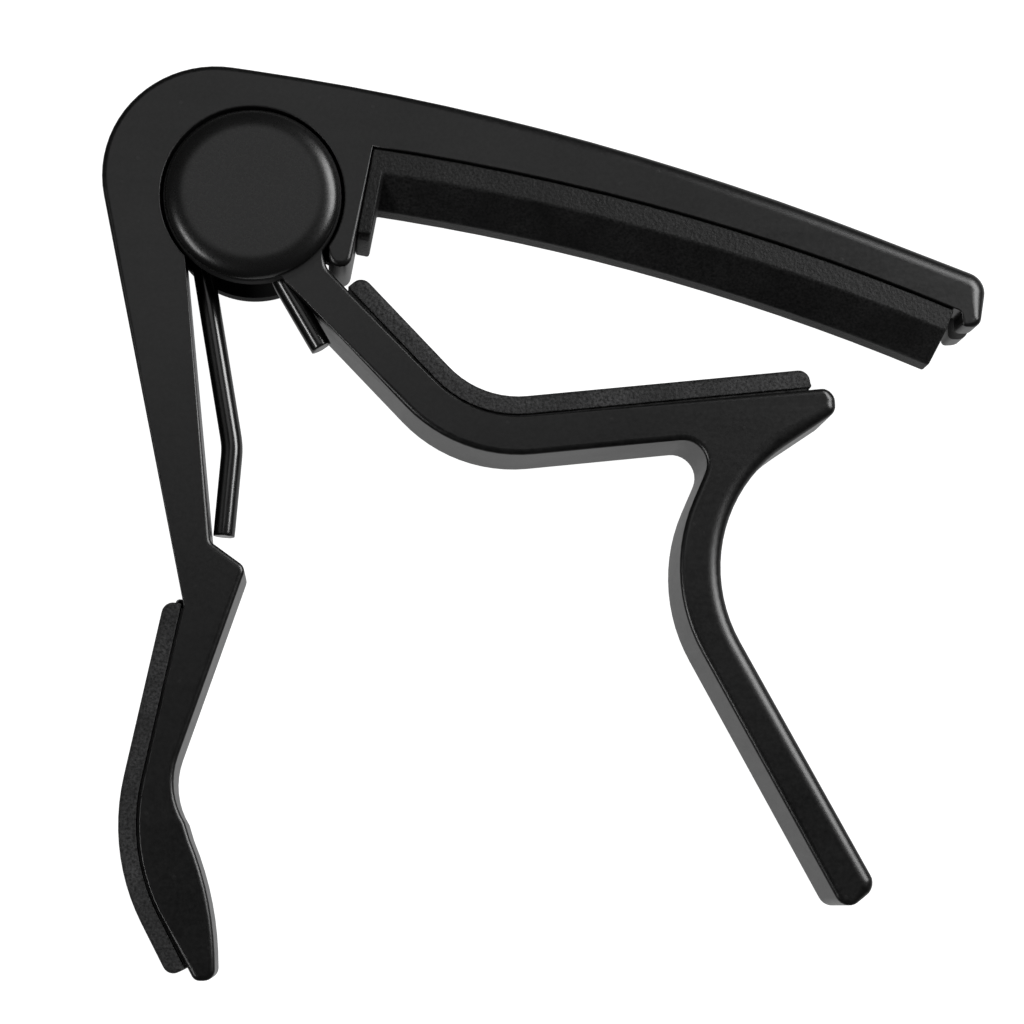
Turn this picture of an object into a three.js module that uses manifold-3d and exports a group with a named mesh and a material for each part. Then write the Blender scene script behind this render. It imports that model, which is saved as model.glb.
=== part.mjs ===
// Spring guitar capo: a frame and a trigger arm that turn on one pivot, with a torsion spring between
// their handles that presses the two padded jaws together on a guitar neck.
// Millimetres. The capo lies on its side: +Z runs along the pivot, the bar points along +X and the
// handles along -Y. The origin is on the pivot's axis, at the flat face of the rear cap.
import * as THREE from "three";
import { mergeVertices } from "three/addons/utils/BufferGeometryUtils.js";
import Module from "manifold-3d";

const wasm = await Module();
wasm.setup();

// Layers along the pivot
const capHeight = 1.3; // how far each cap stands proud of the arms
const armDepth = 9.0; // depth of both arms, face to face
const wireRadius = 1.1; // of the torsion spring
const coilPitch = 2 * wireRadius + 0.1;
const coilTurns = 1.67; // between the two legs, at most
const coilEndGap = 0.08;
const coilDepth = 2 * (wireRadius + coilEndGap) + coilTurns * coilPitch;
const cheekDepth = (armDepth - coilDepth) / 2; // the frame's rear cheek and the trigger's front cheek
const rearFace = capHeight;
const frontFace = rearFace + armDepth;
const rearCheekTop = rearFace + cheekDepth;
const frontCheekBase = frontFace - cheekDepth;
const middle = (rearFace + frontFace) / 2;

// Clearances
const faceGap = 0.05; // between washers, bush and cheeks along the pivot
const pinGap = 0.08; // running fit on the pivot pin
const hubGap = 0.3; // round the trigger's hub in the frame's pocket
const seatGap = 0.05; // between a pad or tape and what it is stuck to
const slotGap = 0.2; // string pad tongue in its slot
const legGap = 0.1; // spring leg to the wall that it presses on
const grooveGap = 0.25; // round the short spring leg in the trigger's groove

// Pivot
const cheekRadius = 8.8;
const pocketRadius = cheekRadius + 0.45;
const pinRadius = 2.5;
const pinBore = 1.3;
const pinHeadRadius = 4.2;
const pinHeadDepth = 0.75;
const washerDepth = 0.25;
const capRadius = cheekRadius;
const capFlatRadius = capRadius - 1.5;
const capWall = 0.45;
const capHollowRadius = 5.6;
const capStemRadius = 1.18;
const capStemLength = 3.2;
const ringRadius = 4.0;
const ringDepth = 0.4;
const ringGroove = 0.35;

// Bar of the frame: its underside is an arc that starts at the top of the lug's inner wall
const archStart = new THREE.Vector2(12.1, 5.3);
const archTilt = THREE.MathUtils.degToRad(-7.87);
const archRadius = 243.4;
const barLength = 62.65; // along the underside, from the lug's wall to the lip
const barTipDepth = 4.45; // thickness of the bar at the lip
const barCrownPlace = 0.305; // where the top bends most, as a share of the bar's length
const barCrownHeight = 7.12; // over the underside there
const lipDrop = 1.6;
const lipWidth = 1.95;
const barTipReach = 1.45; // how far the bar's top runs on past the lip's inner side
const lipRadius = 1.15; // outer corner of the lip
const lipInnerRadius = 0.5;
const barTipRadius = 2.2;
const barTopRadius = 280; // the gentle crown along the top of the bar
const shoulderRadius = 11.45; // round the pivot, between the top and the back
const lugWidth = 2.15;
const lugRadius = 1.05;
const lugStand = 2.35; // how far the lug hangs below the pocket

// String pad, its tongue and the guard leg beside the lug
const padWidth = 8.4;
const padSide = 2.5;
const padHeight = 5.68;
const padFaceWidth = 2.6;
const padEndGap = 0.7; // from the pad's end to the lip
const guardThickness = 1.45;
const guardHeight = 9.5;
const guardFaceWidth = 5.9;
const guardChamfer = 0.5;
const slotMouth = 2.6;
const slotHead = 4.6;
const slotNeckDepth = 1.0;
const slotDepth = 2.1;
const slotStart = 2.0;

// Handle of the frame
const handleReach = 77.9; // from the pivot's axis to the handle's tip
const hookHeight = 37.9; // from the pivot's axis to the corner of the hook
const gripEnd = 12.5; // from the tip to the bend of the grip's outer side
const gripWaist = 18.1; // from the tip to the waist of the grip's inner side
const gripWaistX = -7.75;
const gripWaistRadius = 7.5;
const gripTipWidth = 1.95;
const gripTipCorner = 0.85; // outer corner of the grip's tip
const gripInnerCorner = 1.05;
const gripHollow = 1.4; // how far the inner side curves in between the tip and the waist
const hookCornerX = -0.25;
const hookRadius = 0.95;
const stepRadius = 0.8;
const mouldRadius = 0.5; // where nothing else sets a corner

// Trigger arm
const armThickness = 3.9;
const jawReach = 59.05; // from the pivot's axis to the jaw's tip, along X
const jawSlope = 0.1055;
const jawBend = new THREE.Vector2(22.2, -23.07);
const jawBendRadius = 11.6;
const armShoulder = new THREE.Vector2(7.55, -7.5);
const leverBend = new THREE.Vector2(40.86, -38.72);
const leverAngle = THREE.MathUtils.degToRad(-61.9);
const leverLength = 37.6;
const leverWidth = 4.03;
const leverTipWidth = 4.22;
const leverBendRadius = 17.5;
const leverBackRadius = 15.2; // outer side of the same bend
const leverBackShift = 4.4; // how far up the lever its outer bend lies from the inner one
const crookRadius = 2.4; // between the jaw's underside and the lever
const crookWay = new THREE.Vector2(0.406, 0.914); // along the lever's inner side, up to the crook
const leverTipRadius = 1.5;
const leverTipOutRadius = 1.6;
const jawTipDepth = 2.5;
const jawTipRadius = 1.35;
const armShoulderRadius = 2;
const leverTipSlant = 0.6; // how far the outer corner of the lever's tip stands back

// Pads and tapes of the handle and the neck jaw
const tapeThickness = 0.2;
const neckPadThickness = 1.9;
const handlePadThickness = 1.75;
const softPadDepth = 8.4;
const tapeInset = 0.4; // from a tape's edge to its pad's edge
const neckPadBack = 18.6; // from the jaw's bend back to the pad's start
const neckPadForward = 34.65; // and forward to its end
const handlePadUp = 24.35; // from the grip's bend up to the pad's start
const handlePadDown = 12.65; // and down to its end
const padCorner = 1.1;

// Torsion spring
const coilRadius = cheekRadius - wireRadius - 1.6; // to the middle of the wire
const bushRadius = coilRadius - wireRadius - 0.3;
const longLegBend = new THREE.Vector2(-1.95, -24.7);
const longLegBendRadius = 6;
const longLegEnd = 34.0; // from the pivot's axis to the end of the long leg
const shortLegEnd = new THREE.Vector2(7.0, -15.15);
const shortLegAngle = THREE.MathUtils.degToRad(-60);
const shortLegBendRadius = 2.6;

const chordError = 0.012; // how far an arc's chords may stand off the arc

const steel = { metalness: 0.9, roughness: 0.35 };
const finishes = {
  blackEnamel: new THREE.MeshStandardMaterial({ color: 0x242424, metalness: 0.3, roughness: 0.45 }),
  rubber: new THREE.MeshStandardMaterial({ color: 0x1b1b1c, metalness: 0, roughness: 0.85 }),
  tape: new THREE.MeshStandardMaterial({ color: 0x0d0d0d, metalness: 0, roughness: 0.7 }),
  blackWire: new THREE.MeshStandardMaterial({ color: 0x0b0b0b, metalness: 0.5, roughness: 0.25 }),
  capPlastic: new THREE.MeshStandardMaterial({ color: 0x1f1f1f, metalness: 0, roughness: 0.4 }),
  nylon: new THREE.MeshStandardMaterial({ color: 0xcfccc0, metalness: 0, roughness: 0.6 }),
  pinSteel: new THREE.MeshStandardMaterial({ color: 0x9a9a9e, ...steel }),
};

const capo = new THREE.Group();

// ---- solids ----

// Turns a closed geometry into a manifold-3d solid.
function solidOf(geometry) {
  const bare = geometry.clone();
  bare.deleteAttribute("normal");
  bare.deleteAttribute("uv");
  const merged = mergeVertices(bare, 1e-4);
  return new wasm.Manifold(
    new wasm.Mesh({
      numProp: 3,
      vertProperties: new Float32Array(merged.attributes.position.array),
      triVerts: new Uint32Array(merged.index.array),
    }),
  );
}

// Adds a named mesh to the capo from a manifold-3d solid.
function addPart(name, solid, material) {
  const { vertProperties, triVerts } = solid.getMesh();
  const geometry = new THREE.BufferGeometry();
  geometry.setAttribute("position", new THREE.BufferAttribute(new Float32Array(vertProperties), 3));
  geometry.setIndex(new THREE.BufferAttribute(new Uint32Array(triVerts), 1));
  geometry.computeVertexNormals();
  const mesh = new THREE.Mesh(geometry, material);
  mesh.name = name;
  capo.add(mesh);
}

// A flat outline raised from one height to another.
function slab(points, from, to) {
  const shape = new THREE.Shape(points);
  const geometry = new THREE.ExtrudeGeometry(shape, { depth: to - from, bevelEnabled: false });
  return solidOf(geometry.translate(0, 0, from));
}

// A round bar along the pivot's axis.
function disc(radius, from, to, segments = 64) {
  const geometry = new THREE.CylinderGeometry(radius, radius, to - from, segments);
  return solidOf(geometry.rotateX(Math.PI / 2).translate(0, 0, (from + to) / 2));
}

// A round ring along the pivot's axis.
function ring(outer, inner, from, to, segments = 48) {
  return disc(outer, from, to, segments).subtract(disc(inner, from - 1, to + 1, segments));
}

// A profile of [radius, height] pairs turned about the pivot's axis.
function turned(profile, segments = 56) {
  const points = profile.map(([radius, height]) => new THREE.Vector2(radius, height));
  return solidOf(new THREE.LatheGeometry(points, segments).rotateX(Math.PI / 2));
}

// ---- outlines ----

// Points of an arc about a centre, close enough together to keep to chordError.
function arcPoints(centre, radius, from, sweep) {
  const step = 2 * Math.acos(1 - Math.min(chordError / radius, 0.5));
  const count = Math.max(2, Math.ceil(Math.abs(sweep) / step));
  return Array.from({ length: count + 1 }, (_, i) => {
    const angle = from + (sweep * i) / count;
    return new THREE.Vector2(Math.cos(angle), Math.sin(angle)).multiplyScalar(radius).add(centre);
  });
}

const leftOf = (v) => new THREE.Vector2(-v.y, v.x);
const along = (start, direction, distance) => start.clone().addScaledVector(direction, distance);
const pointing = (angle) => new THREE.Vector2(Math.cos(angle), Math.sin(angle));

// One side of an outline: straight, or an arc whose height is the bulge, to the right of the way along.
function outlineSide(start, end, bulge) {
  const chord = end.clone().sub(start);
  const length = chord.length();
  const direction = chord.divideScalar(length);
  if (!bulge) return { start, end, startWay: direction, endWay: direction, points: () => [] };
  const radius = (length * length) / (8 * Math.abs(bulge)) + Math.abs(bulge) / 2;
  const half = Math.asin(length / 2 / radius) * Math.sign(bulge);
  const middlePoint = along(start, direction, length / 2);
  const centre = along(middlePoint, leftOf(direction), (radius - Math.abs(bulge)) * Math.sign(bulge));
  const first = start.clone().sub(centre).angle();
  const points = (trimStart, trimEnd) => {
    const sign = Math.sign(bulge);
    const from = first + (sign * trimStart) / radius;
    const sweep = 2 * half - (sign * (trimStart + trimEnd)) / radius;
    return arcPoints(centre, radius, from, sweep).slice(1, -1);
  };
  const origin = new THREE.Vector2();
  return {
    start,
    end,
    startWay: direction.clone().rotateAround(origin, -half),
    endWay: direction.clone().rotateAround(origin, half),
    points,
  };
}

// The points of a closed outline given as corners [x, y, radius, bulge], anticlockwise: the radius
// rounds the corner, and the bulge bends the side that follows it.
function outline(corners) {
  const count = corners.length;
  const places = corners.map(([x, y]) => new THREE.Vector2(x, y));
  const sides = corners.map(([, , , bulge = 0], i) =>
    outlineSide(places[i], places[(i + 1) % count], bulge),
  );
  const rounds = corners.map(([, , radius = 0], i) => {
    const way = sides[(i + count - 1) % count].endWay;
    const nextWay = sides[i].startWay;
    const turn = Math.atan2(way.cross(nextWay), way.dot(nextWay));
    const trim = radius * Math.tan(Math.abs(turn) / 2);
    if (!radius) return { trim, points: [places[i]] };
    const begin = along(places[i], way, -trim);
    const centre = along(begin, leftOf(way), radius * Math.sign(turn));
    const from = begin.clone().sub(centre).angle();
    return { trim, points: arcPoints(centre, radius, from, turn) };
  });
  return sides.flatMap((side, i) => [
    ...rounds[i].points,
    ...side.points(rounds[i].trim, rounds[(i + 1) % count].trim),
  ]);
}

// The corner of a bent line moved sideways, to its left, by a distance.
function offsetCorner(before, corner, after, distance) {
  const way = corner.clone().sub(before).normalize();
  const nextWay = after.clone().sub(corner).normalize();
  const turn = Math.atan2(way.cross(nextWay), way.dot(nextWay));
  const bisector = leftOf(way).rotateAround(new THREE.Vector2(), turn / 2);
  return along(corner, bisector, distance / Math.cos(turn / 2));
}

// A strip stuck to the left of a bent line: before, corner and after give the line, back and forward
// how far it reaches each way from the corner, and low and high its two faces.
function strip({ before, corner, after, radius, back, forward, low, high, round }) {
  const way = corner.clone().sub(before).normalize();
  const nextWay = after.clone().sub(corner).normalize();
  const bendsLeft = Math.sign(way.cross(nextWay));
  const face = (distance) => {
    const { x, y } = offsetCorner(before, corner, after, distance);
    return [x, y, radius - bendsLeft * distance];
  };
  const backEnd = along(corner, way, -back);
  const forwardEnd = along(corner, nextWay, forward);
  const end = (place, direction, distance, corner) => {
    const { x, y } = along(place, leftOf(direction), distance);
    return [x, y, corner];
  };
  return outline([
    end(backEnd, way, low, 0),
    face(low),
    end(forwardEnd, nextWay, low, 0),
    end(forwardEnd, nextWay, high, round),
    face(high),
    end(backEnd, way, high, round),
  ]);
}

// ---- the bar's arch ----

const archCentre = along(archStart, leftOf(pointing(archTilt)), -archRadius);

// The place at a distance along the bar's underside, and a height above it.
function onArch(distance, height = 0) {
  const angle = archTilt + Math.PI / 2 - distance / archRadius;
  return along(archCentre, pointing(angle), archRadius + height);
}

// A section of [height, z] pairs swept along the arch between two distances.
function archSweep(section, from, to, stepLength = 4) {
  const steps = Math.max(1, Math.round((to - from) / stepLength));
  const size = section.length;
  const positions = [];
  for (let i = 0; i <= steps; i++)
    for (const [height, z] of section) {
      const { x, y } = onArch(from + ((to - from) * i) / steps, height);
      positions.push(x, y, z);
    }
  const index = [];
  for (let i = 0; i < steps; i++)
    for (let j = 0; j < size; j++) {
      const a = i * size + j;
      const b = i * size + ((j + 1) % size);
      index.push(a, b, a + size, b, b + size, a + size);
    }
  const cap = THREE.ShapeUtils.triangulateShape(section.map((p) => new THREE.Vector2(...p)), []);
  const last = steps * size;
  for (const [a, b, c] of cap) index.push(c, b, a, last + a, last + b, last + c);
  const geometry = new THREE.BufferGeometry();
  geometry.setAttribute("position", new THREE.Float32BufferAttribute(positions, 3));
  geometry.setIndex(index);
  return solidOf(geometry);
}

// A T-shaped section that hangs down out of the bar's underside.
function tSection(mouth, head, neck, depth, hang) {
  return [
    [-hang, middle - mouth / 2],
    [neck, middle - mouth / 2],
    [neck, middle - head / 2],
    [depth, middle - head / 2],
    [depth, middle + head / 2],
    [neck, middle + head / 2],
    [neck, middle + mouth / 2],
    [-hang, middle + mouth / 2],
  ];
}

// ---- frame ----

const lipCorner = onArch(barLength);
const tipX = lipCorner.x + lipWidth;
const barEndWay = pointing(archTilt - barLength / archRadius);
const barTip = along(onArch(barLength, barTipDepth), barEndWay, barTipReach);
const shoulder = new THREE.Vector2(-18.15, 15.57); // where the top and the back of the frame would meet
const barCrown = onArch(barCrownPlace * barLength, barCrownHeight);
const gripTop = new THREE.Vector2(-6.27, -41.8);
const gripBend = new THREE.Vector2(-11.25, gripEnd - handleReach);
const gripTip = new THREE.Vector2(-4.75, -handleReach);
const gripRadius = 19;
const handleTop = new THREE.Vector2(-6.9, -4.8);
const stepCorner = new THREE.Vector2(-3.75, 2.55 - hookHeight);
const lugWallFoot = new THREE.Vector2(9.85, -7.25);

function frameOutline() {
  return outline([
    [archStart.x, archStart.y, 0, archSag()],
    [lipCorner.x, lipCorner.y, mouldRadius],
    [lipCorner.x, lipCorner.y - lipDrop, lipInnerRadius],
    [tipX, lipCorner.y - lipDrop, lipRadius],
    [barTip.x, barTip.y, barTipRadius],
    [barCrown.x, barCrown.y, barTopRadius],
    [shoulder.x, shoulder.y, shoulderRadius],
    [gripTop.x, gripTop.y, mouldRadius],
    [gripBend.x, gripBend.y, gripRadius],
    [gripTip.x, gripTip.y, gripTipCorner],
    [gripTip.x + gripTipWidth, gripTip.y, gripInnerCorner, gripHollow],
    [gripWaistX, gripWaist - handleReach, gripWaistRadius],
    [hookCornerX, -hookHeight, hookRadius],
    [stepCorner.x, stepCorner.y, stepRadius],
    [handleTop.x, handleTop.y],
    [0, 0],
    [lugWallFoot.x - lugWidth, lugWallFoot.y + lugStand],
    [lugWallFoot.x - lugWidth, lugWallFoot.y, lugRadius],
    [lugWallFoot.x, lugWallFoot.y, lugRadius],
  ]);
}

// The height of the underside's arc over its chord, negative because it bends into the bar.
function archSag() {
  return -archRadius * (1 - Math.cos(barLength / archRadius / 2));
}

function makeFrame() {
  const body = slab(frameOutline(), rearFace, frontFace);
  const rearCheek = disc(cheekRadius, rearFace, rearCheekTop);
  const pocket = disc(pocketRadius, rearCheekTop, frontFace + 1);
  const slot = archSweep(
    tSection(slotMouth, slotHead, slotNeckDepth, slotDepth, lipDrop + 2),
    slotStart,
    barLength + 5,
    8,
  );
  const bore = disc(pinRadius + faceGap, rearFace - 1, rearCheekTop + 1, 48);
  return body.subtract(pocket).subtract(slot).add(rearCheek).subtract(bore);
}

// ---- trigger arm ----

const jawTip = new THREE.Vector2(jawReach, jawBend.y + (jawReach - jawBend.x) * jawSlope);

function triggerOutline() {
  const lever = pointing(leverAngle);
  const leverOut = leftOf(lever);
  const under = offsetCorner(armShoulder, jawBend, jawTip, -armThickness);
  const armWay = jawBend.clone().sub(armShoulder).normalize();
  const jawWay = jawTip.clone().sub(jawBend).normalize();
  const root = along(under, armWay, -28.5);
  const leverTip = along(leverBend, lever, leverLength);
  const leverTipOut = along(along(leverTip, leverOut, leverTipWidth), lever, -leverTipSlant);
  const leverBack = along(along(leverBend, leverOut, leverWidth), lever, -leverBackShift);
  const crook = crossing(under, jawWay, leverBend, crookWay);
  return outline([
    [root.x, root.y],
    [under.x, under.y, jawBendRadius + armThickness],
    [crook.x, crook.y, crookRadius],
    [leverBend.x, leverBend.y, leverBendRadius],
    [leverTip.x, leverTip.y, leverTipRadius],
    [leverTipOut.x, leverTipOut.y, leverTipOutRadius],
    [leverBack.x, leverBack.y, leverBackRadius],
    [jawTip.x + 0.1, jawTip.y - jawTipDepth, jawTipRadius],
    [jawTip.x, jawTip.y, jawTipRadius],
    [jawBend.x, jawBend.y, jawBendRadius],
    [armShoulder.x, armShoulder.y, armShoulderRadius],
    [armShoulder.x - 0.75, armShoulder.y + 2.4],
  ]);
}

// Where two lines meet, each given by a point and a way along it.
function crossing(a, wayA, b, wayB) {
  const between = b.clone().sub(a);
  return along(a, wayA, between.cross(wayB) / wayA.cross(wayB));
}

function makeTriggerArm() {
  const arm = slab(triggerOutline(), rearFace, frontFace);
  const hub = disc(pocketRadius - hubGap, frontCheekBase, frontFace);
  const cheekRoom = disc(cheekRadius + hubGap, rearFace - 1, rearCheekTop + hubGap);
  const coilRoom = disc(coilRadius + wireRadius + hubGap, rearFace - 1, frontCheekBase);
  const bore = disc(pinRadius + pinGap, frontCheekBase - 1, frontFace + 1, 48);
  const groove = wireAlong(shortLegPath(3), wireRadius + grooveGap, 24);
  return arm
    .subtract(cheekRoom)
    .subtract(coilRoom)
    .subtract(groove)
    .add(hub)
    .subtract(bore);
}

// ---- torsion spring ----

// An arc about a point, at heights that may change along it.
class SpringArc extends THREE.Curve {
  constructor(centre, radius, from, sweep, lowZ, highZ) {
    super();
    Object.assign(this, { centre, radius, from, sweep, lowZ, highZ });
  }
  getPoint(t, target = new THREE.Vector3()) {
    const place = along(this.centre, pointing(this.from + this.sweep * t), this.radius);
    return target.set(place.x, place.y, this.lowZ + (this.highZ - this.lowZ) * t);
  }
}

const straight = (a, b, z) =>
  new THREE.LineCurve3(new THREE.Vector3(a.x, a.y, z), new THREE.Vector3(b.x, b.y, z));

// The angles where the coil's two legs leave it, and its heights there.
const longLegTangent = longLegBend.angle() - Math.acos(coilRadius / longLegBend.length());
const shortLegSide = leftOf(pointing(shortLegAngle));
const shortBendAcross = shortLegEnd.dot(shortLegSide) + shortLegBendRadius;
const shortBendOut = coilRadius + shortLegBendRadius;
const shortBendCentre = along(
  shortLegSide.clone().multiplyScalar(shortBendAcross),
  pointing(shortLegAngle),
  Math.sqrt(shortBendOut ** 2 - shortBendAcross ** 2),
);
const shortLegTangent = shortBendCentre.angle() - 4 * Math.PI;
const coilSweep = shortLegTangent - longLegTangent;
const coilRise = (coilPitch * Math.abs(coilSweep)) / (2 * Math.PI);
const longLegZ = middle - coilRise / 2;
const shortLegZ = middle + coilRise / 2;

// The short leg from the coil: a tight bend outwards and a straight end, run on by some millimetres.
function shortLegPath(extra = 0) {
  const path = new THREE.CurvePath();
  const from = shortLegTangent + Math.PI;
  const to = shortLegAngle - Math.PI / 2 + 2 * Math.PI;
  const sweep = THREE.MathUtils.euclideanModulo(to - from, 2 * Math.PI);
  const leave = along(shortBendCentre, shortLegSide, -shortLegBendRadius);
  const end = along(shortLegEnd, pointing(shortLegAngle), extra);
  path.add(new SpringArc(shortBendCentre, shortLegBendRadius, from, sweep, shortLegZ, shortLegZ));
  path.add(straight(leave, end, shortLegZ));
  return path;
}

function springPath() {
  const path = new THREE.CurvePath();
  const tangent = along(new THREE.Vector2(), pointing(longLegTangent), coilRadius);
  const legWay = tangent.clone().sub(longLegBend).normalize();
  const wallWay = handleTop.clone().sub(stepCorner).normalize();
  const wall = along(stepCorner, wallWay, (longLegEnd + stepCorner.y) / -wallWay.y);
  const end = along(wall, leftOf(wallWay), -(wireRadius + legGap));
  const endWay = longLegBend.clone().sub(end).normalize();
  const turn = Math.atan2(endWay.cross(legWay), endWay.dot(legWay));
  const trim = longLegBendRadius * Math.tan(Math.abs(turn) / 2);
  const bendStart = along(longLegBend, endWay, -trim);
  const bendEnd = along(longLegBend, legWay, trim);
  const bendCentre = along(bendStart, leftOf(endWay), longLegBendRadius * Math.sign(turn));
  const bendFrom = bendStart.clone().sub(bendCentre).angle();
  path.add(straight(end, bendStart, longLegZ));
  path.add(new SpringArc(bendCentre, longLegBendRadius, bendFrom, turn, longLegZ, longLegZ));
  path.add(straight(bendEnd, tangent, longLegZ));
  const origin = new THREE.Vector2();
  path.add(new SpringArc(origin, coilRadius, longLegTangent, coilSweep, longLegZ, shortLegZ));
  for (const curve of shortLegPath().curves) path.add(curve);
  return path;
}

// A round wire along a path.
function wireAlong(path, radius, steps, sides = 10) {
  const section = new THREE.Shape(arcPointsEvenly(radius, sides));
  return solidOf(new THREE.ExtrudeGeometry(section, { extrudePath: path, steps, bevelEnabled: false }));
}

function arcPointsEvenly(radius, sides) {
  return Array.from({ length: sides }, (_, i) =>
    pointing((2 * Math.PI * i) / sides).multiplyScalar(radius),
  );
}

// ---- pads and tapes ----

function makeStringPad() {
  const half = padWidth / 2;
  const faceHalf = padFaceWidth / 2;
  const guardHalf = guardFaceWidth / 2;
  const chamferedSection = (side, height, flat) => [
    [-height, middle - flat],
    [-side, middle - half],
    [-seatGap, middle - half],
    [-seatGap, middle + half],
    [-side, middle + half],
    [-height, middle + flat],
  ];
  const body = archSweep(
    chamferedSection(padSide, padHeight, faceHalf),
    seatGap,
    barLength - padEndGap,
  );
  const wallLean = archStart.clone().sub(lugWallFoot).angle() - Math.PI / 2 - archTilt;
  const guard = archSweep(
    chamferedSection(guardHeight - guardChamfer, guardHeight, guardHalf),
    seatGap,
    seatGap + guardThickness,
  )
    .translate(-archStart.x, -archStart.y, 0)
    .rotate([0, 0, THREE.MathUtils.radToDeg(wallLean)])
    .translate(archStart.x, archStart.y, 0);
  const tongue = archSweep(
    tSection(
      slotMouth - 2 * slotGap,
      slotHead - 2 * slotGap,
      slotNeckDepth + slotGap,
      slotDepth - slotGap,
      1,
    ),
    slotStart + slotGap,
    barLength - padEndGap,
    8,
  );
  return body.add(guard).add(tongue);
}

// A soft pad or its tape on the jaw or on the grip, between two heights over the seat.
const neckSeat = { before: jawTip, corner: jawBend, after: armShoulder, radius: jawBendRadius };
const gripSeat = { before: gripTip, corner: gripBend, after: gripTop, radius: gripRadius };

function seatStrip(seat, back, forward, low, high, depth, round = 0) {
  const direction = seat === neckSeat ? -1 : 1;
  const points = strip({ ...seat, back, forward, low: direction * low, high: direction * high, round });
  const ordered = THREE.ShapeUtils.isClockWise(points) ? points.reverse() : points;
  return slab(ordered, middle - depth / 2, middle + depth / 2);
}

function addSoftPads() {
  const padLow = 2 * seatGap + tapeThickness;
  const tapeHigh = seatGap + tapeThickness;
  const tapeDepth = softPadDepth - 2 * tapeInset;
  const places = [
    ["neck_pad", neckSeat, neckPadForward, neckPadBack, neckPadThickness],
    ["handle_pad", gripSeat, handlePadDown, handlePadUp, handlePadThickness],
  ];
  for (const [name, seat, back, forward, thickness] of places) {
    const pad = seatStrip(seat, back, forward, padLow, padLow + thickness, softPadDepth, padCorner);
    const tape = seatStrip(seat, back - tapeInset, forward - tapeInset, seatGap, tapeHigh, tapeDepth);
    addPart(name, pad, finishes.rubber);
    addPart(name + "_tape", tape, finishes.tape);
  }
}

// ---- pivot parts ----

// A domed cap with a stem that pushes into the pin, as a profile from z = 0 upwards for the front.
function capProfile(foot, top) {
  const rim = foot + 0.2;
  const roof = top - capWall;
  const dome = Array.from({ length: 6 }, (_, i) => {
    const angle = (Math.PI / 2) * (i / 5);
    const round = capRadius - capFlatRadius;
    return [capFlatRadius + round * Math.cos(angle), rim + (top - rim) * Math.sin(angle)];
  });
  return [
    [0, roof - capStemLength],
    [capStemRadius, roof - capStemLength],
    [capStemRadius, roof],
    [capHollowRadius, roof],
    [capHollowRadius, foot],
    [capRadius, foot],
    ...dome,
    [0, top],
  ];
}

function makePin() {
  const headBase = rearFace - faceGap - pinHeadDepth;
  const frontEnd = frontFace + capHeight - capWall - faceGap;
  const grooveBase = frontFace + 2 * faceGap + washerDepth;
  const pin = disc(pinHeadRadius, headBase, headBase + pinHeadDepth, 48)
    .add(disc(pinRadius, headBase, frontEnd, 48))
    .subtract(disc(pinBore, headBase - 1, frontEnd + 1, 24));
  const cut = ring(pinRadius + 1, pinRadius - ringGroove, grooveBase, grooveBase + ringDepth + faceGap);
  return pin.subtract(cut);
}

function makeRetainingRing() {
  const base = frontFace + 2 * faceGap + washerDepth + faceGap / 2;
  const mouth = slab(
    outline([
      [0, -pinRadius * 0.62],
      [ringRadius + 1, -pinRadius * 0.62],
      [ringRadius + 1, pinRadius * 0.62],
      [0, pinRadius * 0.62],
    ]),
    base - 1,
    base + 2,
  );
  const inner = pinRadius - ringGroove + faceGap;
  return ring(ringRadius, inner, base, base + ringDepth).subtract(mouth);
}

function addPivotParts() {
  const capTop = frontFace + capHeight;
  const frontCap = turned(capProfile(frontFace + faceGap, capTop));
  const rearCap = frontCap.mirror([0, 0, 1]).translate(0, 0, rearFace + frontFace);
  const bushBase = rearCheekTop + 2 * faceGap + washerDepth;
  const bushTop = frontCheekBase - 2 * faceGap - washerDepth;
  const bore = pinRadius + pinGap;
  addPart("front_cap", frontCap, finishes.capPlastic);
  addPart("rear_cap", rearCap, finishes.capPlastic);
  addPart("pivot_pin", makePin(), finishes.pinSteel);
  addPart("retaining_ring", makeRetainingRing(), finishes.pinSteel);
  addPart("spring_bush", ring(bushRadius, bore, bushBase, bushTop), finishes.nylon);
  const washers = [
    ["rear_washer", rearCheekTop + faceGap, bushRadius],
    ["front_washer", bushTop + faceGap, bushRadius],
    ["hub_washer", frontFace + faceGap, ringRadius + 1],
  ];
  for (const [name, base, radius] of washers)
    addPart(name, ring(radius, bore, base, base + washerDepth), finishes.pinSteel);
}

addPart("frame", makeFrame(), finishes.blackEnamel);
addPart("trigger_arm", makeTriggerArm(), finishes.blackEnamel);
addPart("torsion_spring", wireAlong(springPath(), wireRadius, 130), finishes.blackWire);
addPart("string_pad", makeStringPad(), finishes.rubber);
addSoftPads();
addPivotParts();

export default capo;
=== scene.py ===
import bmesh
import bpy
import math
from mathutils import Matrix, Vector
from mathutils.bvhtree import BVHTree


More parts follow.
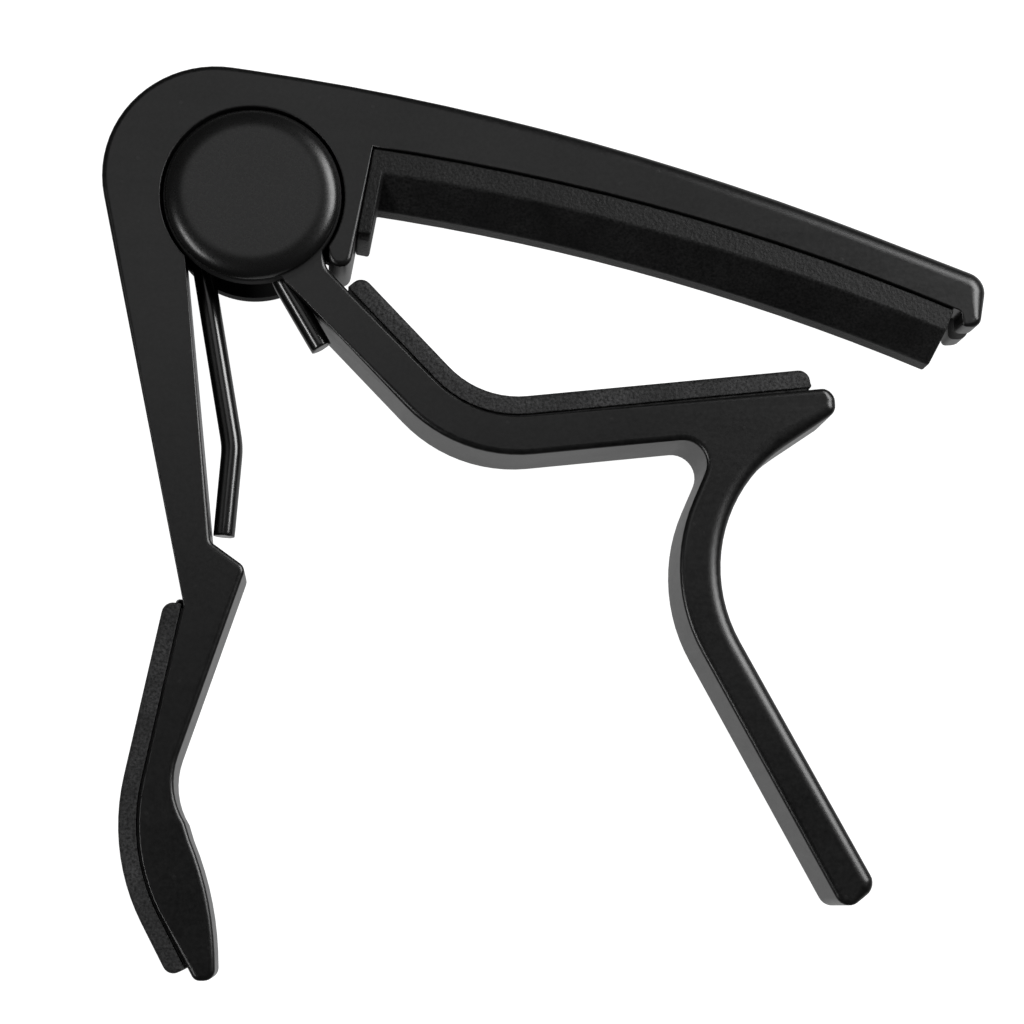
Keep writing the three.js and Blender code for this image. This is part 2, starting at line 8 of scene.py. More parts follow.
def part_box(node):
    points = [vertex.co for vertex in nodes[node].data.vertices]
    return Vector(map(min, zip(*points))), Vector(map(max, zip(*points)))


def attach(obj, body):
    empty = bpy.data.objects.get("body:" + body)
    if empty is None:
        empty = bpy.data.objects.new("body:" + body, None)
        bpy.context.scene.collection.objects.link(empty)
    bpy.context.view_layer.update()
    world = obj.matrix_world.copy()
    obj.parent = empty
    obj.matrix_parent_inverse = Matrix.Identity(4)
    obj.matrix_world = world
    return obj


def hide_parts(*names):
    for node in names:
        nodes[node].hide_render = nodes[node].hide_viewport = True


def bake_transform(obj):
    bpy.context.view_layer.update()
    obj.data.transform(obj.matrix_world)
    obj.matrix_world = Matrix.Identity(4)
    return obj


# Spring guitar capo, lying on its side with the pivot upright. Shapes are worked in millimetres and
# scaled to metres when a piece is finished.
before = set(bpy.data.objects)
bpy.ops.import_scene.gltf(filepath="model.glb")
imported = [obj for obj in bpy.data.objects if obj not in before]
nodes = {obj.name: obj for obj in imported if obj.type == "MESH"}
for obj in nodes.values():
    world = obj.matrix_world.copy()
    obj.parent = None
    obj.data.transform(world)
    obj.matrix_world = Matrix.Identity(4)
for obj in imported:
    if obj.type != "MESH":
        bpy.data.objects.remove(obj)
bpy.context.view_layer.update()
mm = 0.001

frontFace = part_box("frame")[1].z / mm
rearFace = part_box("frame")[0].z / mm
middle = (frontFace + rearFace) / 2

cameraSetup = {
    "place": (7.32, -70.78, 249.9),
    "turn": (9.135, -4.412, -0.353),  # degrees about X, Y, Z
    "lens": 85.92,
    "sensor": 36,
    "clip": (0.01, 20),  # nearest and furthest, in metres
}

studio = {
    "floorDrop": 0.3,  # how far the floor lies below the rear cap
    "floorSize": 4000,
    "floorSeen": 1.02,  # brightness of the light table to the eye
    "floorGlow": 0.37,  # and the light that it throws on the capo
    "glowReach": (70, 260),  # the glow dies away between these distances
    "airSeen": 1.0,
    "airGlow": 0.025,
    "aim": (30, -32, 6),  # the panels point here and the glow spreads from here
}

panels = {  # place and size in millimetres, power in watts
    "rightWindow": {"place": (370, 170, 350), "size": (330, 210), "power": 2.2},
    "leftFill": {"place": (-330, -140, 360), "size": (220, 100), "power": 0.7},
    "topCard": {"place": (-60, 270, 880), "size": (460, 320), "power": 0.38},
}


def placeCamera():
    data = bpy.data.cameras.new("camera")
    data.lens = cameraSetup["lens"]
    data.sensor_width = cameraSetup["sensor"]
    data.clip_start, data.clip_end = cameraSetup["clip"]
    camera = bpy.data.objects.new("camera", data)
    camera.location = Vector(cameraSetup["place"]) * mm
    camera.rotation_euler = [math.radians(angle) for angle in cameraSetup["turn"]]
    bpy.context.scene.collection.objects.link(camera)
    bpy.context.scene.camera = camera


def addPanel(name, place, size, power):
    light = bpy.data.lights.new(name, "AREA")
    light.shape = "RECTANGLE"
    light.size = size[0] * mm
    light.size_y = size[1] * mm
    light.energy = power
    lamp = bpy.data.objects.new(name, light)
    lamp.location = Vector(place) * mm
    aim = Vector(studio["aim"]) * mm - lamp.location
    lamp.rotation_euler = aim.to_track_quat("-Z", "Y").to_euler()
    bpy.context.scene.collection.objects.link(lamp)


def seenOrCast(tree, seen, cast):
    # one brightness to the eye and another as a light, which is a number or comes from a node
    path = tree.nodes.new("ShaderNodeLightPath")
    blend = tree.nodes.new("ShaderNodeMix")
    tree.links.new(path.outputs["Is Camera Ray"], blend.inputs[0])
    if isinstance(cast, bpy.types.NodeSocket):
        tree.links.new(cast, blend.inputs[2])
    else:
        blend.inputs[2].default_value = cast
    blend.inputs[3].default_value = seen
    return blend.outputs[0]


def buildFloor():
    size = studio["floorSize"] / 2 * mm
    drop = -studio["floorDrop"] * mm
    corners = [(-size, -size, drop), (size, -size, drop), (size, size, drop), (-size, size, drop)]
    mesh = bpy.data.meshes.new("floor")
    mesh.from_pydata(corners, [], [(0, 1, 2, 3)])
    material, tree, shader, where = startMaterial("paleFloor", (0.3, 0.3, 0.3), 0.9)
    shader.inputs["Specular IOR Level"].default_value = 0
    shader.inputs["Emission Color"].default_value = (1, 1, 1, 1)
    away = tree.nodes.new("ShaderNodeVectorMath")
    away.operation = "DISTANCE"
    tree.links.new(where, away.inputs[0])
    away.inputs[1].default_value = Vector(studio["aim"]) * mm
    near, far = (reach * mm for reach in studio["glowReach"])
    fade = spread(tree, away.outputs["Value"], studio["floorGlow"], 0, low=near, high=far)
    brightness = seenOrCast(tree, studio["floorSeen"], fade)
    tree.links.new(brightness, shader.inputs["Emission Strength"])
    mesh.materials.append(material)
    floor = bpy.data.objects.new("floor", mesh)
    bpy.context.scene.collection.objects.link(floor)


def buildStudio():
    buildFloor()
    world = bpy.data.worlds.new("studioAir")
    world.use_nodes = True
    tree = world.node_tree
    air = tree.nodes["Background"]
    air.inputs["Color"].default_value = (1, 1, 1, 1)
    tree.links.new(seenOrCast(tree, studio["airSeen"], studio["airGlow"]), air.inputs["Strength"])
    bpy.context.scene.world = world
    bpy.context.scene.view_settings.view_transform = "Standard"
    for name, panel in panels.items():
        addPanel(name, **panel)
    print("studio:", len(panels), "light panels")


def startMaterial(name, colour, roughness, metallic=0.0):
    material = bpy.data.materials.new(name)
    material.use_nodes = True
    tree = material.node_tree
    shader = tree.nodes["Principled BSDF"]
    shader.inputs["Base Color"].default_value = (*colour, 1)
    shader.inputs["Roughness"].default_value = roughness
    shader.inputs["Metallic"].default_value = metallic
    place = tree.nodes.new("ShaderNodeTexCoord")
    return material, tree, shader, place.outputs["Object"]


def stretched(tree, where, scale, turn=(0, 0, 0)):
    mapping = tree.nodes.new("ShaderNodeMapping")
    mapping.inputs["Scale"].default_value = scale
    mapping.inputs["Rotation"].default_value = [math.radians(angle) for angle in turn]
    tree.links.new(where, mapping.inputs["Vector"])
    return mapping.outputs["Vector"]


def noise(tree, where, perMetre, detail=3.0, roughness=0.5):
    node = tree.nodes.new("ShaderNodeTexNoise")
    node.inputs["Scale"].default_value = perMetre
    node.inputs["Detail"].default_value = detail
    node.inputs["Roughness"].default_value = roughness
    tree.links.new(where, node.inputs["Vector"])
    return node.outputs["Fac"]


def grains(tree, where, perMetre):
    node = tree.nodes.new("ShaderNodeTexVoronoi")
    node.inputs["Scale"].default_value = perMetre
    tree.links.new(where, node.inputs["Vector"])
    return node.outputs["Distance"]


def spread(tree, value, atLow, atHigh, low=0.0, high=1.0):
    node = tree.nodes.new("ShaderNodeMapRange")
    tree.links.new(value, node.inputs["Value"])
    for name, number in zip(("From Min", "From Max", "To Min", "To Max"), (low, high, atLow, atHigh)):
        node.inputs[name].default_value = number
    return node.outputs["Result"]


def combine(tree, a, b, operation="ADD", share=1.0):
    scaled = tree.nodes.new("ShaderNodeMath")
    scaled.operation = "MULTIPLY"
    tree.links.new(b, scaled.inputs[0])
    scaled.inputs[1].default_value = share
    node = tree.nodes.new("ShaderNodeMath")
    node.operation = operation
    tree.links.new(a, node.inputs[0])
    tree.links.new(scaled.outputs["Value"], node.inputs[1])
    return node.outputs["Value"]


def tint(tree, shader, value, dark, light):
    node = tree.nodes.new("ShaderNodeMix")
    node.data_type = "RGBA"
    tree.links.new(value, node.inputs["Factor"])
    node.inputs[6].default_value = (*dark, 1)
    node.inputs[7].default_value = (*light, 1)
    tree.links.new(node.outputs[2], shader.inputs["Base Color"])


def bump(tree, shader, height, strength, depth):
    node = tree.nodes.new("ShaderNodeBump")
    node.inputs["Strength"].default_value = strength
    node.inputs["Distance"].default_value = depth * mm
    tree.links.new(height, node.inputs["Height"])
    tree.links.new(node.outputs["Normal"], shader.inputs["Normal"])


def paintedShadeRound(tree, where, near, far):
    # painted shade mask: 1 within the near distance of the pivot's axis, fading to 0 at the far one,
    # where the cap's rim shades the arms
    reach = tree.nodes.new("ShaderNodeVectorMath")
    reach.operation = "LENGTH"
    tree.links.new(stretched(tree, where, (1, 1, 0)), reach.inputs[0])
    return spread(tree, reach.outputs["Value"], 1, 0, low=near * mm, high=far * mm)


enamelLook = {
    "dark": (0.001, 0.001, 0.0011),
    "light": (0.0105, 0.0105, 0.0105),
    "cloudPerMetre": 90,
    "peelPerMetre": 2400,
    "dustPerMetre": 420,
    "brushing": (60, 900, 200),  # noise per metre along X, Y and Z
    "brushTurn": (0, 0, -6),
    "gloss": (0.23, 0.31),
    "brushShare": 0.07,
    "dustShare": 3.0,
    "paintedShadeReach": (8.95, 9.5),  # painted shade darkens it this close to the pivot's axis, where the cap's rim shades the arms
    # how much the painted shade also raises the roughness
    "paintedShadeShare": 0.5,
    "bumpDepth": 0.02,
}


def satinEnamel():
    look = enamelLook
    material, tree, shader, where = startMaterial("satinEnamel", (0.02, 0.02, 0.02), 0.36)
    cloud = noise(tree, where, look["cloudPerMetre"], detail=4)
    peel = noise(tree, where, look["peelPerMetre"], detail=4, roughness=0.7)
    dust = grains(tree, where, look["dustPerMetre"])
    fleck = spread(tree, dust, 1, 0, low=0.06, high=0.1)
    brushing = stretched(tree, where, look["brushing"], look["brushTurn"])
    drawn = noise(tree, brushing, 1, detail=3, roughness=0.6)
    clouded = spread(tree, cloud, 0, 0.35, low=0.3, high=0.7)
    mottle = combine(tree, clouded, spread(tree, peel, 0, 0.5, low=0.35, high=0.65))
    shade = combine(tree, mottle, fleck, share=look["dustShare"])
    # painted shade: the colour is darkened and the gloss dulled in a ring round the pivot's axis,
    # standing in for the shade under the cap's rim
    paintedShade = paintedShadeRound(tree, where, *look["paintedShadeReach"])
    tint(tree, shader, combine(tree, shade, paintedShade, "SUBTRACT"), look["dark"], look["light"])
    wear = combine(tree, spread(tree, peel, *look["gloss"]), drawn, share=look["brushShare"])
    wearAndPaintedShade = combine(tree, wear, paintedShade, share=look["paintedShadeShare"])
    tree.links.new(wearAndPaintedShade, shader.inputs["Roughness"])
    relief = combine(tree, peel, fleck, share=0.8)
    bump(tree, shader, relief, strength=0.3, depth=look["bumpDepth"])
    return material


rubberLooks = {
    "softRubber": {
        "dark": (0.001, 0.001, 0.001),
        "light": (0.06, 0.06, 0.061),
        "roughness": 0.55,
        "grainPerMetre": 3400,
        "bumpStrength": 1.0,
    },
    "barRubber": {
        "dark": (0.0005, 0.0005, 0.0005),
        "light": (0.021, 0.021, 0.0212),
        "roughness": 0.5,
        "grainPerMetre": 3800,
        "bumpStrength": 0.9,
    },
}


def rubberGrain(name):
    look = rubberLooks[name]
    dull, perMetre = look["roughness"], look["grainPerMetre"]
    material, tree, shader, where = startMaterial(name, look["dark"], dull)
    shader.inputs["Specular IOR Level"].default_value = 0.3
    fine = noise(tree, where, perMetre, detail=4, roughness=0.65)
    pits = grains(tree, where, perMetre * 0.6)
    patches = noise(tree, where, 220, detail=2)
    grain = spread(tree, fine, 0, 1, low=0.35, high=0.68)
    shade = combine(tree, grain, patches, "MULTIPLY", share=1.6)
    tint(tree, shader, shade, look["dark"], look["light"])
    tree.links.new(spread(tree, patches, dull - 0.06, dull + 0.06), shader.inputs["Roughness"])
    bump(tree, shader, combine(tree, fine, pits, share=0.5), look["bumpStrength"], depth=0.06)
    return material


def tapeFinish():
    material, tree, shader, where = startMaterial("tapeEdge", (0.006, 0.006, 0.006), 0.5)
    smear = noise(tree, where, 900, detail=4, roughness=0.7)
    streak = spread(tree, smear, 0, 1, low=0.5, high=0.8)
    tint(tree, shader, streak, dark=(0.004, 0.004, 0.004), light=(0.03, 0.03, 0.03))
    gloss = spread(tree, smear, 0.25, 0.6, low=0.35, high=0.65)
    tree.links.new(gloss, shader.inputs["Roughness"])
    bump(tree, shader, smear, strength=0.5, depth=0.05)
    return material


def wireCoating():
    material, tree, shader, where = startMaterial("wireCoating", (0.006, 0.006, 0.006), 0.2)
    shader.inputs["Coat Weight"].default_value = 0.5
    shader.inputs["Coat Roughness"].default_value = 0.12
    drawn = noise(tree, stretched(tree, where, (900, 160, 900)), 1, detail=3)
    tint(tree, shader, drawn, dark=(0.004, 0.004, 0.004), light=(0.012, 0.012, 0.012))
    tree.links.new(spread(tree, drawn, 0.16, 0.3), shader.inputs["Roughness"])
    bump(tree, shader, drawn, strength=0.12, depth=0.02)
    return material


def capPlastic():
    material, tree, shader, where = startMaterial("capPlastic", (0.021, 0.021, 0.021), 0.38)
    spark = noise(tree, where, 2600, detail=3, roughness=0.6)
    cloud = noise(tree, where, 160, detail=2)
    tint(tree, shader, cloud, dark=(0.004, 0.004, 0.004), light=(0.009, 0.009, 0.009))
    tree.links.new(spread(tree, spark, 0.22, 0.34), shader.inputs["Roughness"])
    bump(tree, shader, spark, strength=0.16, depth=0.02)
    return material


def turnedSteel():
    material, tree, shader, where = startMaterial("turnedSteel", (0.5, 0.5, 0.51), 0.3, metallic=1.0)
    rings = noise(tree, stretched(tree, where, (250, 250, 6000)), 1, detail=3)
    tint(tree, shader, rings, dark=(0.36, 0.36, 0.37), light=(0.6, 0.6, 0.6))
    tree.links.new(spread(tree, rings, 0.22, 0.42), shader.inputs["Roughness"])
    bump(tree, shader, rings, strength=0.1, depth=0.01)
    return material


def naturalNylon():
    material, tree, shader, where = startMaterial("naturalNylon", (0.7, 0.68, 0.6), 0.45)
    cloud = noise(tree, where, 500, detail=3)
    tint(tree, shader, cloud, dark=(0.62, 0.6, 0.52), light=(0.74, 0.72, 0.65))
    tree.links.new(spread(tree, cloud, 0.38, 0.55), shader.inputs["Roughness"])
    bump(tree, shader, cloud, strength=0.1, depth=0.02)
    return material


meshCare = {
    "mergeWithin": 0.0008,  # millimetres
    "flatWithin": 0.3,  # degrees between faces that count as one flat
    "levelWithin": 0.01,  # how far a vertex may stray from a face's height
    "ringWithin": 0.08,  # and from a ring's radius
}


def looseCopy(node, flatten=True):
    # a merged copy of a CAD node's mesh, in millimetres
    shape = bmesh.new()
    shape.from_mesh(nodes[node].data)
    bmesh.ops.scale(shape, vec=(1 / mm,) * 3, verts=shape.verts)
    bmesh.ops.remove_doubles(shape, verts=shape.verts, dist=meshCare["mergeWithin"])
    if flatten:
        limit = math.radians(meshCare["flatWithin"])
        bmesh.ops.dissolve_limit(shape, angle_limit=limit, verts=shape.verts, edges=shape.edges)
    return shape


def sharpEdges(shape, least=35):
    return [
        edge
        for edge in shape.edges
        if len(edge.link_faces) == 2 and edge.calc_face_angle() > math.radians(least)
    ]


def radiusOf(vert):
    return math.hypot(vert.co.x, vert.co.y)


def onRing(edge, radius):
    return all(abs(radiusOf(vert) - radius) < meshCare["ringWithin"] for vert in edge.verts)


def atHeight(part, height):
    # whether all of an edge or a face lies at one height
    return all(abs(vert.co.z - height) < meshCare["levelWithin"] for vert in part.verts)


def roundOver(shape, edges, size, segments):
    corners = {vert for edge in edges for vert in edge.verts}
    bmesh.ops.bevel(
        shape,
        geom=list(edges) + list(corners),
        offset=size,
        offset_type="OFFSET",
        segments=segments,
        profile=0.5,
        affect="EDGES",
        clamp_overlap=False,
    )


def finishPiece(shape, name, material, body, replaced, crisp=38):
    # edges that bend by more than crisp degrees stay sharp to the eye
    bmesh.ops.scale(shape, vec=(mm,) * 3, verts=shape.verts)
    mesh = bpy.data.meshes.new(name)
    shape.to_mesh(mesh)
    shape.free()
    mesh.materials.append(material)
    piece = bpy.data.objects.new(name, mesh)
    bpy.context.scene.collection.objects.link(piece)
    piece.data.shade_smooth()
    piece.data.set_sharp_from_angle(angle=math.radians(crisp))
    weigh = piece.modifiers.new("weightedNormals", "WEIGHTED_NORMAL")
    weigh.keep_sharp = True
    applyModifiers(piece)
    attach(piece, body)
    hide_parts(*replaced)
    print("piece:", name, len(piece.data.polygons), "faces")
    return piece


def applyModifiers(piece):
    bpy.context.view_layer.update()
    shown = piece.evaluated_get(bpy.context.evaluated_depsgraph_get())
    finished = bpy.data.meshes.new_from_object(shown)
    piece.modifiers.clear()
    piece.data = finished


castArms = {
    "edgeRound": 1.65,  # on the outer edges, where a corner leaves room for it
    "smallRound": 0.6,  # on the inner edges, round the handle and the lug
    "seatRound": 0.14,  # on the edges that a pad lies against
    "cornerShare": 0.75,  # of the room in a corner, at most
    "growsFrom": 12,  # where along the bar its rounding starts to grow
    "growsTo": 48,
    "leverFrom": 15,  # where along X the trigger's outer side starts to be fully rounded
    "leverFacing": 0.2,  # a side that faces X by more than this is its outer side
    "growth": 0.4,  # how fast a rounding may grow along an edge
    "steps": 7,
    "flatness": 0.62,  # a rounding's depth as a share of its width
    "seatReach": 0.8,  # an edge this near to a pad is a seat edge
    "rimRound": 0.18,
    "leastRound": 0.01,  # anything smaller stays a sharp corner
    "sharpestCorner": 0.2,  # limits how far a very sharp corner is drawn inwards
    "hubSparesWithin": 6,  # the edges of the bores round the pivot stay sharp
    "pocketRadius": 9.25,
    "cheekRadius": 8.8,
    "hubRadius": 8.95,
    "cheekRoomRadius": 9.1,
}


def runsOf(loops):
    # boundary loops chained head to tail, each run with whether it closes on itself
    nextOf = {loop.vert: loop for loop in loops}
    heads = {loop.link_loop_next.vert for loop in loops}
    order = sorted(loops, key=lambda loop: (loop.vert in heads, loop.vert.index))
    runs, seen = [], set()
    for loop in order:
        run = []
        while loop and loop.vert not in seen:
            seen.add(loop.vert)
            run.append(loop)
            loop = nextOf.get(loop.link_loop_next.vert)
        if run:
            runs.append((run, run[-1].link_loop_next.vert is run[0].vert))
    return runs


def inwardOf(run, up):
    # the way along each edge of a run and the way from it into the face
    ways = [(loop.link_loop_next.vert.co - loop.vert.co).normalized() for loop in run]
    return ways, [Vector((0, 0, up)).cross(way) for way in ways]


def roundedRun(run, closed, up, sizeAt):
    # the vertices of a run, how far each may be rounded, and the way into the face from there;
    # sizeAt gives the size that is wanted at a place, from that place and the way off the arm
    ways, normals = inwardOf(run, up)
    verts = [loop.vert for loop in run]
    lengths = [(loop.link_loop_next.vert.co - loop.vert.co).length for loop in run]
    if not closed:
        verts.append(run[-1].link_loop_next.vert)
    count = len(verts)
    halves, insets = [], []
    sharpest = castArms["sharpestCorner"]
    for i in range(count):
        before = i - 1 if closed or i > 0 else 0
        after = min(i, len(run) - 1)
        turn = math.atan2(ways[before].cross(ways[after]).z * up, ways[before].dot(ways[after]))
        halves.append(math.tan(turn / 2))
        summed = normals[before] + normals[after]
        insets.append(summed / max(1 + normals[before].dot(normals[after]), sharpest))
    sizes = [sizeAt(vert.co, -inset) for vert, inset in zip(verts, insets)]
    for i, length in enumerate(lengths):
        j = (i + 1) % count
        closing = halves[i] + halves[j]
        if closing > 0.001:  # straight and hollow corners don't limit a rounding
            room = castArms["cornerShare"] * length / closing
            sizes[i], sizes[j] = min(sizes[i], room), min(sizes[j], room)
    if not closed:
        sizes[0] = sizes[-1] = 0.0
    for _ in range(2):
        for order in (range(len(lengths)), reversed(range(len(lengths)))):
            for i in order:
                j = (i + 1) % count
                step = castArms["growth"] * lengths[i]
                sizes[i], sizes[j] = min(sizes[i], sizes[j] + step), min(sizes[j], sizes[i] + step)
    return verts, sizes, insets


def roundFace(shape, height, up, skipped, sizeAt):
    # rounds the outer edges of the flat faces at one height
    shape.verts.index_update()
    flats = [face for face in shape.faces if atHeight(face, height)]
    inside = set(flats)
    loops = [
        loop
        for face in flats
        for loop in face.loops
        if not any(other in inside for other in loop.edge.link_faces if other is not face)
        and not any(onRing(loop.edge, radius) for radius in skipped)
        and max(radiusOf(vert) for vert in loop.edge.verts) > castArms["hubSparesWithin"]
    ]
    swapped, strips = {}, []
    for run, closed in runsOf(loops):
        verts, sizes, insets = roundedRun(run, closed, up, sizeAt)
        ladder = []
        for vert, size, inset in zip(verts, sizes, insets):
            if size < castArms["leastRound"]:
                ladder.append([vert] * (castArms["steps"] + 1))
                continue
            rungs = [vert]
            place = vert.co.copy()
            drop = size * castArms["flatness"]
            for k in range(1, castArms["steps"] + 1):
                angle = math.pi / 2 * k / castArms["steps"]
                spot = place + inset * size * (1 - math.cos(angle))
                spot.z = height - up * drop * (1 - math.sin(angle))
                rungs.append(shape.verts.new(spot))
            swapped[vert] = rungs[-1]
            vert.co.z = height - up * drop
            ladder.append(rungs)
        pairs = list(zip(ladder, ladder[1:] + ladder[:1])) if closed else list(zip(ladder, ladder[1:]))
        for left, right in pairs:
            for k in range(castArms["steps"]):
                corners = list(dict.fromkeys((left[k], right[k], right[k + 1], left[k + 1])))
                if len(corners) > 2:
                    strips.append(corners)
    corners = [[swapped.get(vert, vert) for vert in face.verts] for face in flats]
    bmesh.ops.delete(shape, geom=flats, context="FACES_ONLY")
    for ring in corners + strips:
        shape.faces.new(ring)


def buildArm(node, name, body, skipped, rims, sizeAt, material):
    shape = looseCopy(node)
    for height, up in ((rearFace, -1), (frontFace, 1)):
        roundFace(shape, height, up, skipped, sizeAt)
    bmesh.ops.recalc_face_normals(shape, faces=shape.faces)
    rim = [
        edge
        for edge in sharpEdges(shape)
        if any(atHeight(edge, height) for height in (rearFace, frontFace))
        and any(onRing(edge, radius) for radius in rims)
    ]
    roundOver(shape, rim, castArms["rimRound"], 2)
    return finishPiece(shape, name, material, body, [node])


def nearnessTo(*names):
    # how far a place is from the nearest of some CAD nodes, in millimetres
    shape = bmesh.new()
    for name in names:
        shape.from_mesh(nodes[name].data)
    bmesh.ops.scale(shape, vec=(1 / mm,) * 3, verts=shape.verts)
    wall = BVHTree.FromBMesh(shape)
    shape.free()
    return lambda place: wall.find_nearest(place)[3]


def buildArms():
    enamel = satinEnamel()
    pocket, cheek = castArms["pocketRadius"], castArms["cheekRadius"]
    hub, room = castArms["hubRadius"], castArms["cheekRoomRadius"]
    small, large = castArms["smallRound"], castArms["edgeRound"]
    framePads = nearnessTo("string_pad", "handle_pad")
    neckPad = nearnessTo("neck_pad")

    def frameRound(place, _):
        if framePads(place) < castArms["seatReach"]:
            return castArms["seatRound"]
        share = (place.x - castArms["growsFrom"]) / (castArms["growsTo"] - castArms["growsFrom"])
        return small + (large - small) * min(max(share, 0), 1)

    def triggerRound(place, outward):
        if neckPad(place) < castArms["seatReach"]:
            return castArms["seatRound"]
        outerSide = outward.x > castArms["leverFacing"] and place.x > castArms["leverFrom"]
        return large if outerSide else small

    buildArm("frame", "castFrame", "frame", (pocket, cheek), (pocket,), frameRound, enamel)
    buildArm("trigger_arm", "castTrigger", "trigger", (hub, room), (hub,), triggerRound, enamel)


padShape = {
    "softEdge": 0.75,
    "seatEdge": 0.1,
    "seatReach": 0.6,  # a pad's edge this near to its arm is its seat edge
    "barEdge": 0.22,
    "barSteps": 3,
    "barCorner": 25,  # degrees from which an edge of the string pad is rounded
    # beads that the mould's seam leaves at the pads' ends; turn in degrees
    "neckNib": {"place": (56.6, -18.75, 5.8), "turn": 6.0, "size": (0.42, 0.3, 3.7)},
    "handleNib": {"place": (-6.8, -41.3, 5.8), "turn": -12.0, "size": (0.5, 0.55, 3.7)},
    "nibWaver": ((0.04, 5.1, 0), (0.05, 3.3, 1)),  # in X and Y: how far, how often, from where
}


def addNib(shape, place, turn, size):
    # an uneven bead, upright at a pad's end
    spot = Matrix.Translation(place) @ Matrix.Rotation(math.radians(turn), 4, "Z")
    spot = spot @ Matrix.Diagonal((*size, 1))
    made = bmesh.ops.create_uvsphere(shape, u_segments=16, v_segments=24, radius=1, matrix=spot)
    for vert in made["verts"]:
        for axis, (far, often, start) in enumerate(padShape["nibWaver"]):
            vert.co[axis] += far * math.sin(vert.co.z * often + start)


def buildPads():
    softRubber, barRubber = rubberGrain("softRubber"), rubberGrain("barRubber")
    for node, name, body, arm, nib in (
        ("neck_pad", "neckPad", "trigger", "trigger_arm", "neckNib"),
        ("handle_pad", "handlePad", "frame", "frame", "handleNib"),
    ):
        shape = looseCopy(node)
        gapTo = nearnessTo(arm)

        def sizeAt(place, _):
            return padShape["seatEdge" if gapTo(place) < padShape["seatReach"] else "softEdge"]

        for corner, up in zip(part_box(node), (-1, 1)):
            roundFace(shape, corner.z / mm, up, (), sizeAt)
        bmesh.ops.recalc_face_normals(shape, faces=shape.faces)
        addNib(shape, **padShape[nib])
        pad = finishPiece(shape, name, softRubber, body, [node])
    shape = looseCopy("string_pad")
    roundOver(shape, sharpEdges(shape, padShape["barCorner"]), padShape["barEdge"], padShape["barSteps"])
    pad = finishPiece(shape, "stringPad", barRubber, "frame", ["string_pad"])


springShape = {
    "wireRadius": 1.1,
    "wireSides": 10,  # as in the CAD
    "smoothing": 2,
    "endCrease": 0.75,
    "endCorner": 60,  # degrees from which an edge is the rim of the wire's end
    "pairWithin": (35, 80),  # degrees of bend and skew up to which triangles pair to quads
}


def buildSpring():
    shape = looseCopy("torsion_spring", flatten=False)
    crease = shape.edges.layers.float.new("crease_edge")
    bend, skew = (math.radians(angle) for angle in springShape["pairWithin"])
    bmesh.ops.join_triangles(
        shape, faces=shape.faces, angle_face_threshold=bend, angle_shape_threshold=skew
    )
    for edge in sharpEdges(shape, springShape["endCorner"]):
        edge[crease] = springShape["endCrease"]
    # how far smoothing draws the wire in, as a share of its radius
    limitShare = (4 + 2 * math.cos(2 * math.pi / springShape["wireSides"])) / 6
    grow = springShape["wireRadius"] * (1 / limitShare - 1)
    shape.normal_update()
    for vert in shape.verts:
        vert.co += vert.normal * grow
    bmesh.ops.scale(shape, vec=(mm,) * 3, verts=shape.verts)
    mesh = bpy.data.meshes.new("torsionSpring")
    shape.to_mesh(mesh)
    shape.free()
    mesh.shade_smooth()
    mesh.materials.append(wireCoating())
    spring = bpy.data.objects.new("torsionSpring", mesh)
    bpy.context.scene.collection.objects.link(spring)
    smooth = spring.modifiers.new("smoothWire", "SUBSURF")
    smooth.levels = smooth.render_levels = springShape["smoothing"]
    applyModifiers(spring)
    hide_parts("torsion_spring")
    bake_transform(spring)
    print("piece: torsionSpring", len(spring.data.polygons), "faces")


capShape = {
    "rim": 8.8,
    "flat": 6.45,
    "rimHeight": 0.12,
    "crown": 0.03,
    "lift": 0.05,  # of the rim's foot over the arms
    "footIn": 0.35,  # how far the underside stops inside the rim
    "footBreak": (0.06, 0.05),  # the small broken edge at the rim's foot, in and up
    "steps": 128,
    "roundSteps": 14,
}


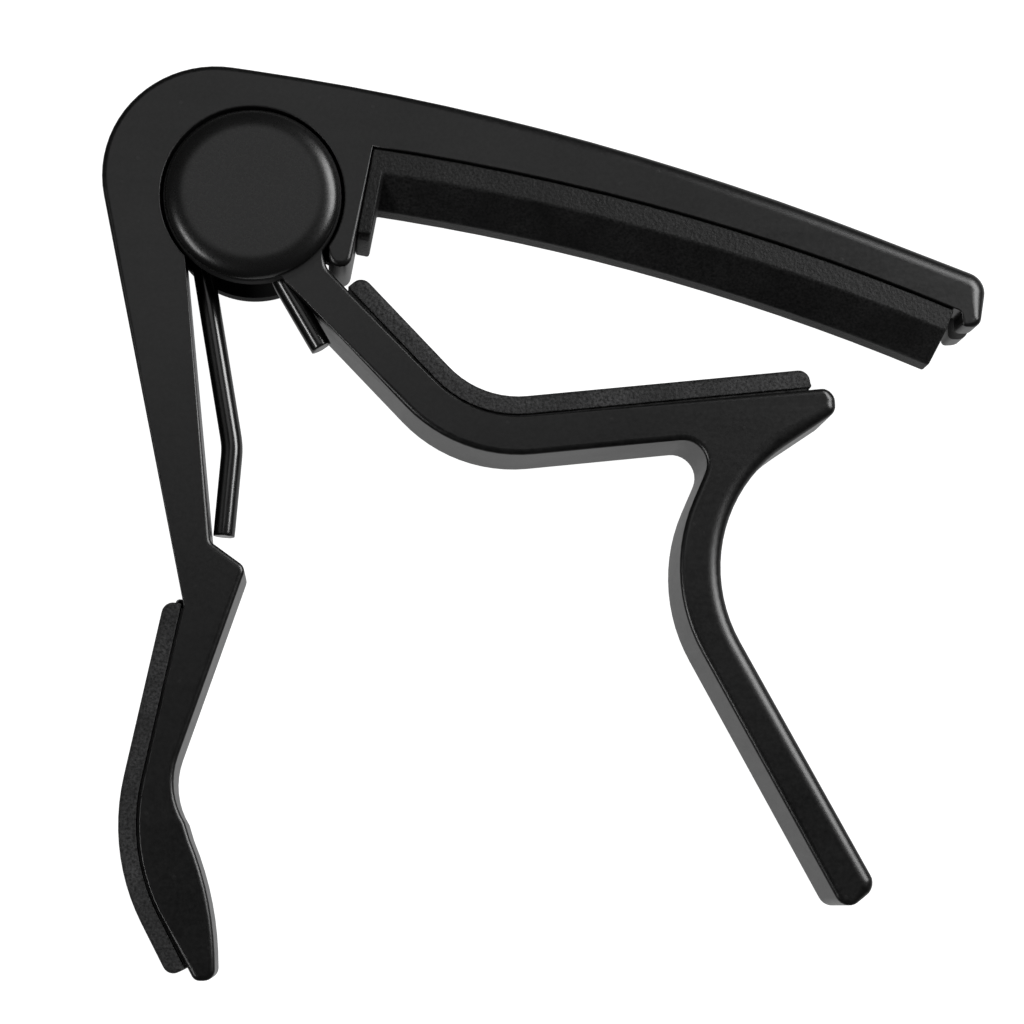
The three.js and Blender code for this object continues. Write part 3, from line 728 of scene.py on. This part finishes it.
def capPoints(foot, top):
    # radius and height of the cap's outline, from the foot up
    rim, flat = capShape["rim"], capShape["flat"]
    base = foot + capShape["rimHeight"]
    breakIn, breakUp = capShape["footBreak"]
    points = [(rim - capShape["footIn"], foot), (rim - breakIn, foot), (rim, foot + breakUp)]
    points.append((rim, base))
    count = capShape["roundSteps"]
    for i in range(1, count + 1):
        angle = math.pi / 2 * i / count
        points.append((flat + (rim - flat) * math.cos(angle), base + (top - base) * math.sin(angle)))
    # the flat rises a little towards its middle, in two steps
    points += [(flat * 0.66, top + capShape["crown"] * 0.3), (flat * 0.33, top + capShape["crown"])]
    return points


def turnedShape(points, steps):
    shape = bmesh.new()
    rings = []
    turn = [2 * math.pi * i / steps for i in range(steps)]
    for radius, height in points:
        rings.append(
            [shape.verts.new((radius * math.cos(a), radius * math.sin(a), height)) for a in turn]
        )
    for low, high in zip(rings, rings[1:]):
        for i in range(steps):
            j = (i + 1) % steps
            shape.faces.new((low[i], low[j], high[j], high[i]))
    shape.faces.new(rings[-1])
    shape.faces.new(list(reversed(rings[0])))
    return shape


def buildCaps():
    plastic = capPlastic()
    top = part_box("front_cap")[1].z / mm - capShape["crown"]
    foot = frontFace + capShape["lift"]
    for node, name, flip in (("front_cap", "frontCap", False), ("rear_cap", "rearCap", True)):
        shape = turnedShape(capPoints(foot, top), capShape["steps"])
        if flip:
            bmesh.ops.scale(shape, vec=(1, 1, -1), verts=shape.verts)
            bmesh.ops.translate(shape, vec=(0, 0, 2 * middle), verts=shape.verts)
        bmesh.ops.recalc_face_normals(shape, faces=shape.faces)
        finishPiece(shape, name, plastic, "frame", [node], crisp=50)


def dressPivotParts():
    steel = turnedSteel()
    tape = tapeFinish()
    finishes = {
        "pivot_pin": steel,
        "retaining_ring": steel,
        "rear_washer": steel,
        "front_washer": steel,
        "hub_washer": steel,
        "spring_bush": naturalNylon(),
        "neck_pad_tape": tape,
        "handle_pad_tape": tape,
    }
    for node, material in finishes.items():
        nodes[node].data.materials.clear()
        nodes[node].data.materials.append(material)
    print("finishes:", len(finishes), "carried-over nodes")


placeCamera()
buildStudio()
buildArms()
buildPads()
buildSpring()
buildCaps()
dressPivotParts()
